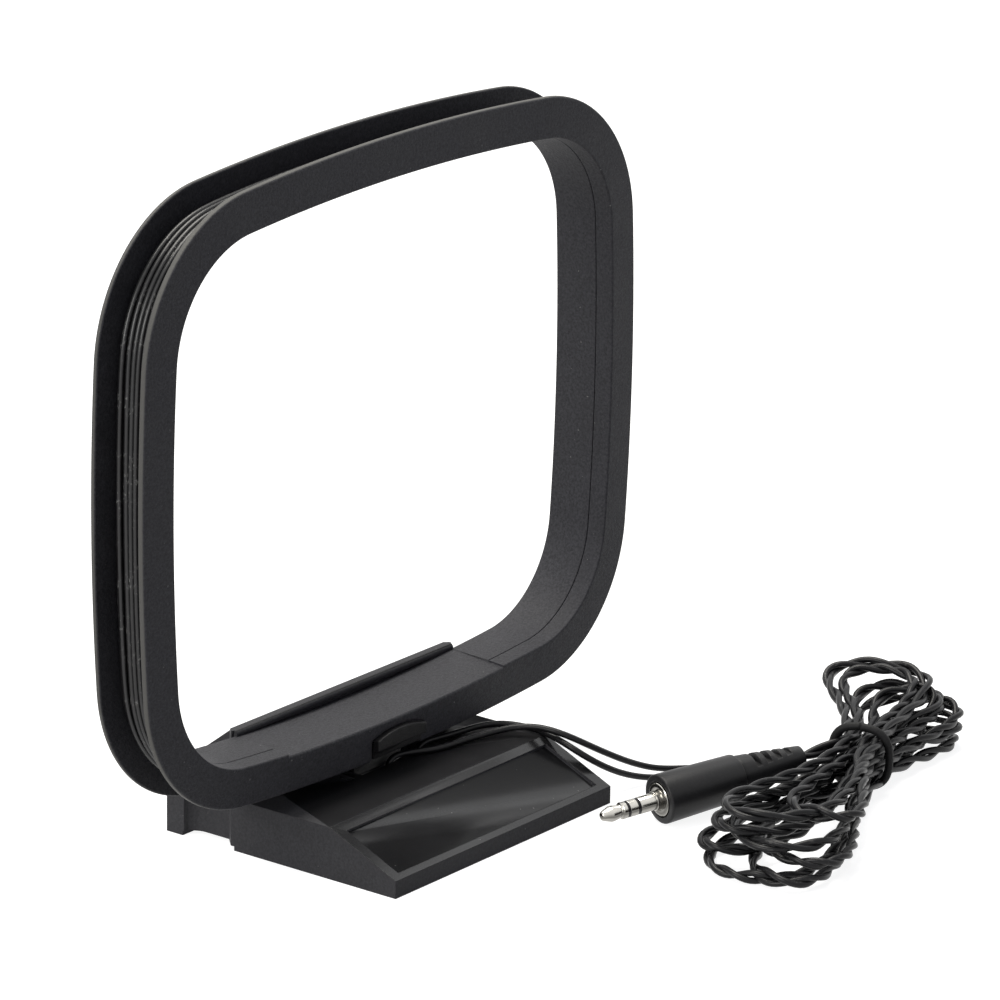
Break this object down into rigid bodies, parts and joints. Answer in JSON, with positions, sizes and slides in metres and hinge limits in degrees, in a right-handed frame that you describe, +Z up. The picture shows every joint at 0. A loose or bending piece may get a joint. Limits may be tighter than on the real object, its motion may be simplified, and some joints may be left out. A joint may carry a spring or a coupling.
{
  "type": "radio loop antenna",
  "caption": "Table-top AM loop antenna: a wire-wound rounded bobbin loop held in a wedge stand by a snap claw, with a twisted lead tied in a hank and a 3.5 mm plug.",
  "frame": {"origin": "middle of the stand's footprint on the floor, below the loop's centre line", "axes": "+X right along the loop's width, +Y to the back, +Z up"},
  "size_m": [0.2209, 0.1322, 0.1595],
  "materials": {
    "bobbin": "fine grain, matt black",
    "stand": "satin charcoal",
    "wire": "glossy insulation",
    "tie": "matt",
    "grip": "satin",
    "nickel": "polished nickel",
    "insulator": "gloss",
    "conductor": "bare copper"
  },
  "bodies": {
    "stand": {"stand_base": "stand", "lead_wire_left": "wire", "lead_wire_right": "wire", "cord_hank": "wire", "hank_tie": "tie", "plug_grip": "grip", "plug_strain_relief": "grip", "jack_collar": "nickel", "jack_sleeve": "nickel", "jack_ring": "nickel", "jack_tip": "nickel", "insulator_front": "insulator", "insulator_rear": "insulator", "conductor_tip": "conductor", "conductor_sleeve": "conductor"},
    "loop": {"front_bobbin_half": "bobbin", "rear_bobbin_half": "bobbin", "loop_winding": "wire"},
    "claw": {"snap_claw": "stand"}
  },
  "joints": [
    {"name": "loop_tilt", "type": "hinge", "parent": "stand", "child": "loop", "pos_m": [0, 0.01355, 0.0273], "axis": [-1, 0, 0], "range_deg": [0, 20]},
    {"name": "claw_flex", "type": "hinge", "parent": "stand", "child": "claw", "pos_m": [0, 0.0044, 0.011], "axis": [1, 0, 0], "range_deg": [0, 13.5]}
  ],
  "couplings": [
    {"joint": "claw_flex", "follows": "loop_tilt", "ratio": 0.65}
  ]
}
